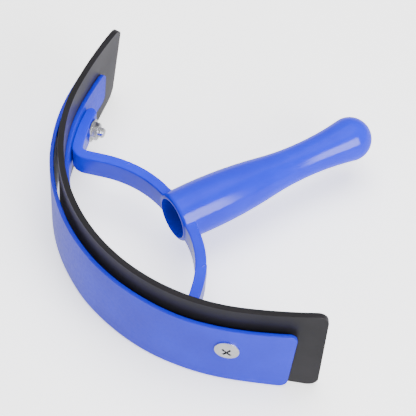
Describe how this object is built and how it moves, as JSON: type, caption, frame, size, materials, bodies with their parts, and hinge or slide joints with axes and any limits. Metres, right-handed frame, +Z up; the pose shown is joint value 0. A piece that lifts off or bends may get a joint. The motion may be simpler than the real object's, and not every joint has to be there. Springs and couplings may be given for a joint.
{
  "type": "sweat scraper",
  "caption": "Handheld horse sweat scraper: curved rubber blade clamped between plastic strips on a bowed frame with a hollow grip.",
  "frame": {"origin": "middle of the bounding box on the plane the blade's lower edge stands on", "axes": "+Z up along the blade's width, +Y from the blade towards the knob of the handle, +X to the right end of the blade; the plane X = 0 is the plane of symmetry"},
  "size_m": [0.2068, 0.1666, 0.05],
  "materials": {
    "blue_plastic": "glossy moulded",
    "strip_plastic": "semi-gloss sheet",
    "black_rubber": "matt with a soft sheen",
    "zinc_steel": "bright plated"
  },
  "bodies": {
    "root": {"handle_bow": "blue_plastic", "outer_strip": "strip_plastic", "inner_strip": "strip_plastic", "rubber_blade": "black_rubber", "bolt_left": "zinc_steel", "bolt_right": "zinc_steel", "washer_left": "zinc_steel", "washer_right": "zinc_steel", "nut_left": "zinc_steel", "nut_right": "zinc_steel"}
  },
  "joints": []
}
